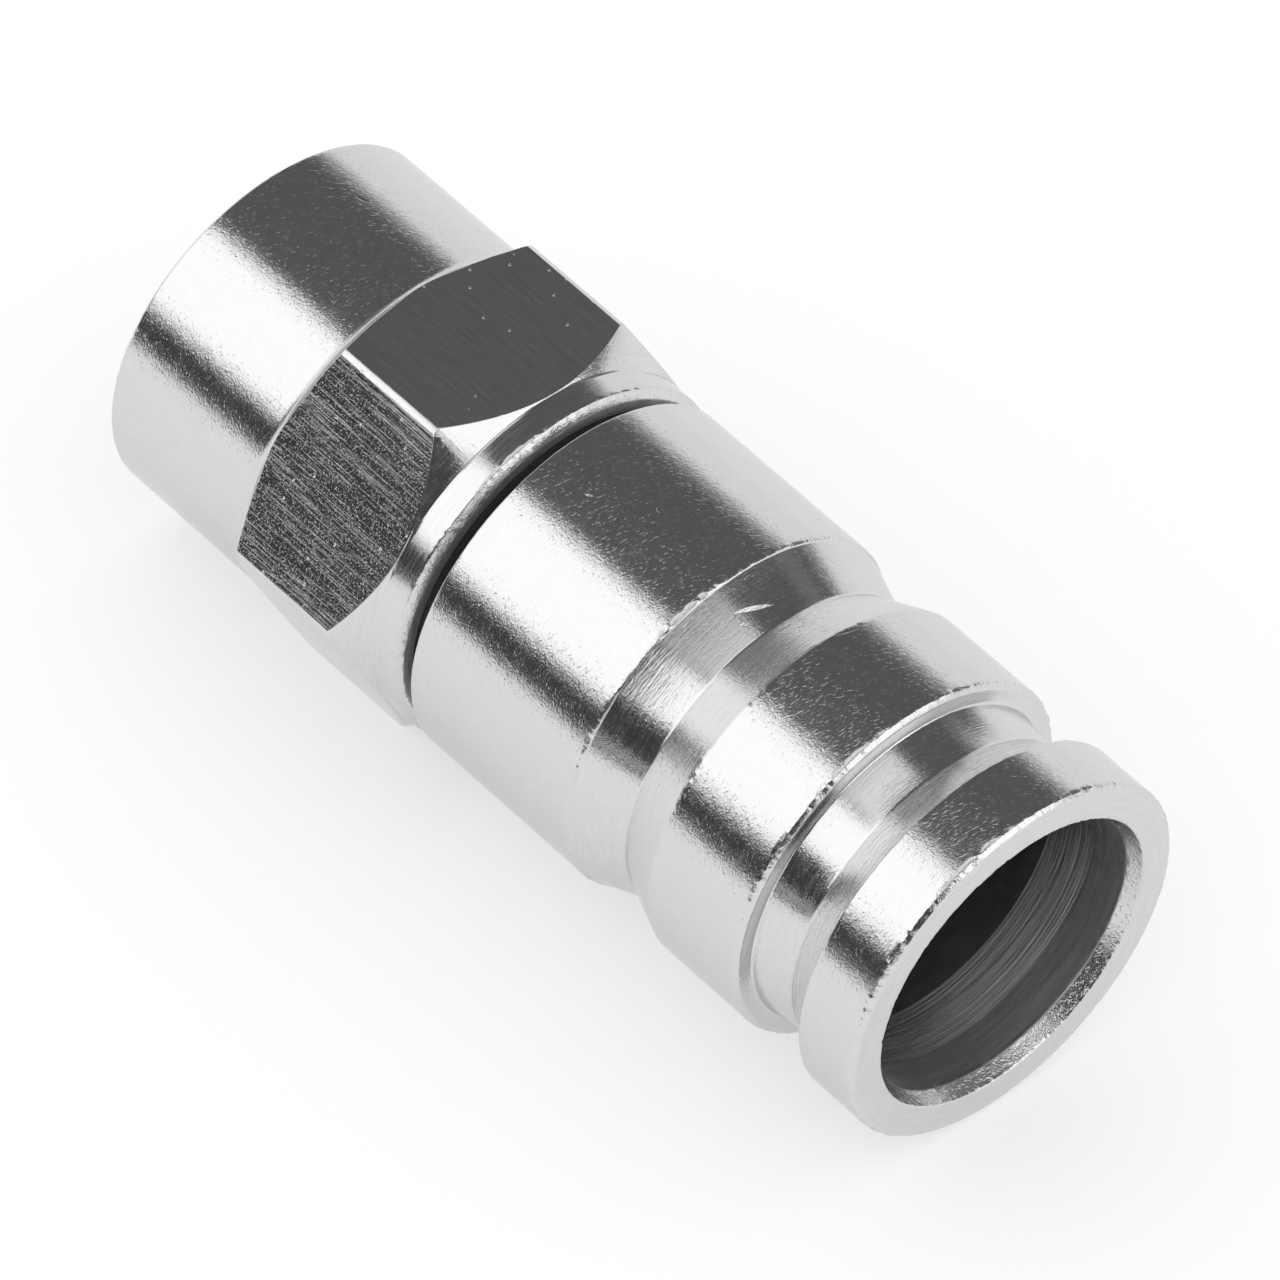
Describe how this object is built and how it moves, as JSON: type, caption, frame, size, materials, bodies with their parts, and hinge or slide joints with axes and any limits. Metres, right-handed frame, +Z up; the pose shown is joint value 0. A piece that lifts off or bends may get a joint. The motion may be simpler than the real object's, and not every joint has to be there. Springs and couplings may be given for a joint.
{
  "type": "coaxial compression connector",
  "caption": "Screw-on coaxial compression connector with a hexagon coupling nut that spins on a turned body with a folding neck, rear flange and cable mouth.",
  "frame": {"origin": "on the table, under the middle of the connector's length, as it lies on one flat of its hexagon", "axes": "+Z up, +X along the connector's axis from the mating end to the cable end, +Y across"},
  "size_m": [0.0284, 0.0126, 0.011],
  "materials": {
    "nut_nickel": "bright nickel plating over turned brass, coarse axial grain on some flats",
    "body_nickel": "bright nickel plating over turned and tumbled brass, turning marks in the grooves",
    "post_nickel": "bright nickel plating over turned brass",
    "seal_rubber": "matt black moulded rubber"
  },
  "bodies": {
    "connector": {"connector_body": "body_nickel", "inner_post": "post_nickel", "nut_seal_ring": "seal_rubber"},
    "nut": {"coupling_nut": "nut_nickel"}
  },
  "joints": [
    {"name": "nut_spin", "type": "hinge", "parent": "connector", "child": "nut", "pos_m": [-0.00428, 0, 0.0055], "axis": [1, 0, 0], "continuous": true}
  ]
}
